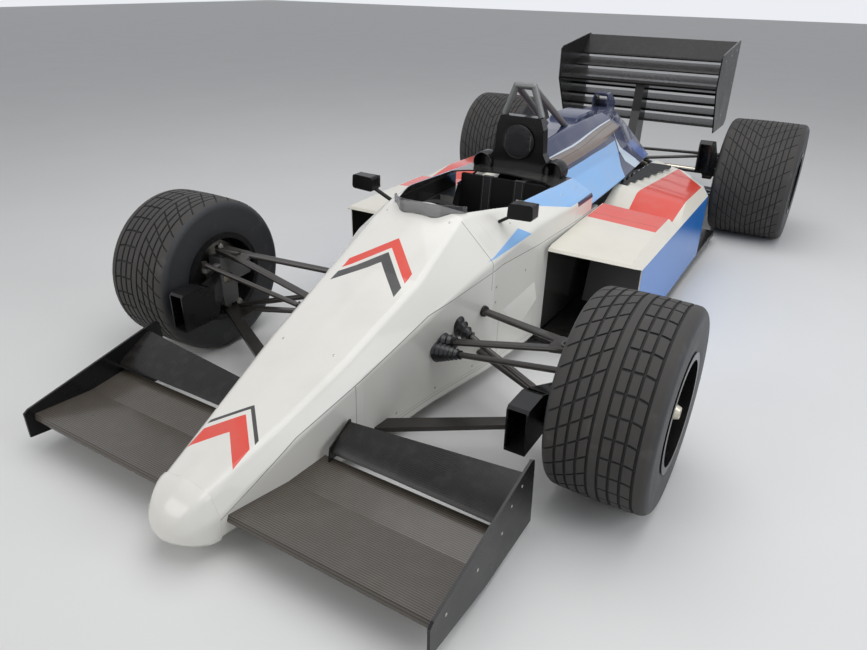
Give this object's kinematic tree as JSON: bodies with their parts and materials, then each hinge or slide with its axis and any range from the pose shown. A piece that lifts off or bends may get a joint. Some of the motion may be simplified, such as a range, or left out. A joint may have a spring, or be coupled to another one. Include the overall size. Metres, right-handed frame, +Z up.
{
  "type": "open wheel racing car",
  "caption": "Open wheel racing car with front and rear wings, open cockpit, sidepods, exposed suspension and steered front wheels.",
  "frame": {"origin": "on the floor under the middle of the car", "axes": "+Z up, +Y toward the rear, +X toward the car's left"},
  "size_m": [2.09, 4.305, 1.0539],
  "materials": {
    "white_paint": "gloss",
    "navy_paint": "gloss",
    "black_composite": "satin",
    "dark_carbon": "woven",
    "grey_steel": "satin",
    "black_rubber": "gloss",
    "tyre": "worn",
    "black_rim": "gloss",
    "wheel_steel": "machined",
    "cast_metal": "cast",
    "screen_clear": "clear",
    "black_cloth": "woven",
    "red_lens": "gloss",
    "mirror_housing": "gloss"
  },
  "bodies": {
    "chassis": {"cockpit_surround": "white_paint", "dashboard": "black_composite", "engine": "cast_metal", "engine_cover": "navy_paint", "floor": "dark_carbon", "front_endplates": "black_composite", "front_flaps": "dark_carbon", "front_pushrods": "grey_steel", "front_wing": "dark_carbon", "front_wishbones": "grey_steel", "gaiters": "black_rubber", "gearbox": "cast_metal", "harness": "black_cloth", "headrest": "black_composite", "headrest_pad": "black_cloth", "mirrors": "mirror_housing", "monocoque": "white_paint", "nose_box": "white_paint", "nose_cap": "white_paint", "nose_shell": "white_paint", "radiators": "cast_metal", "rain_light": "red_lens", "rear_brake_ducts": "black_composite", "rear_endplates": "black_composite", "rear_pushrods": "grey_steel", "rear_uprights": "cast_metal", "rear_wing_planes": "dark_carbon", "rear_wing_post": "black_composite", "rear_wing_slats": "dark_carbon", "rear_wishbones": "grey_steel", "roll_hoop": "grey_steel", "seat": "black_composite", "sidepod_left": "white_paint", "sidepod_right": "white_paint", "tail_scoop": "black_composite", "turbochargers": "grey_steel", "windscreen": "screen_clear"},
    "steering_rack": {"track_rods": "grey_steel"},
    "steering_wheel": {"steering_wheel": "black_composite"},
    "knuckle_left": {"upright_front_left": "cast_metal", "brake_duct_front_left": "black_composite"},
    "wheel_front_left": {"tyre_front_left": "tyre", "rim_front_left": "black_rim", "hub_front_left": "wheel_steel"},
    "wheel_rear_left": {"tyre_rear_left": "tyre", "rim_rear_left": "black_rim", "hub_rear_left": "wheel_steel"},
    "knuckle_right": {"upright_front_right": "cast_metal", "brake_duct_front_right": "black_composite"},
    "wheel_front_right": {"tyre_front_right": "tyre", "rim_front_right": "black_rim", "hub_front_right": "wheel_steel"},
    "wheel_rear_right": {"tyre_rear_right": "tyre", "rim_rear_right": "black_rim", "hub_rear_right": "wheel_steel"}
  },
  "joints": [
    {"name": "steer_left", "type": "hinge", "parent": "chassis", "child": "knuckle_left", "pos_m": [0.75, -1.1875, 0.309], "axis": [0, 0, 1], "range_deg": [-15, 15]},
    {"name": "steer_right", "type": "hinge", "parent": "chassis", "child": "knuckle_right", "pos_m": [-0.75, -1.1875, 0.309], "axis": [0, 0, 1], "range_deg": [-15, 15]},
    {"name": "rack_slide", "type": "slide", "parent": "chassis", "child": "steering_rack", "axis": [1, 0, 0], "range_m": [-0.0275, 0.0275]},
    {"name": "steering_wheel_turn", "type": "hinge", "parent": "chassis", "child": "steering_wheel", "pos_m": [0, -0.7175, 0.52], "axis": [0, 0.9063, 0.4226], "range_deg": [-151, 151]},
    {"name": "spin_front_left", "type": "hinge", "parent": "knuckle_left", "child": "wheel_front_left", "pos_m": [0.894, -1.1875, 0.309], "axis": [1, 0, 0], "continuous": true},
    {"name": "spin_rear_left", "type": "hinge", "parent": "chassis", "child": "wheel_rear_left", "pos_m": [0.8385, 1.5685, 0.335], "axis": [1, 0, 0], "continuous": true},
    {"name": "spin_front_right", "type": "hinge", "parent": "knuckle_right", "child": "wheel_front_right", "pos_m": [-0.894, -1.1875, 0.309], "axis": [1, 0, 0], "continuous": true},
    {"name": "spin_rear_right", "type": "hinge", "parent": "chassis", "child": "wheel_rear_right", "pos_m": [-0.8385, 1.5685, 0.335], "axis": [1, 0, 0], "continuous": true}
  ],
  "couplings": [
    {"joint": "steer_right", "follows": "steer_left", "ratio": 1},
    {"joint": "rack_slide", "follows": "steer_left", "m_per_rad": 0.104},
    {"joint": "steering_wheel_turn", "follows": "steer_left", "ratio": 10}
  ]
}
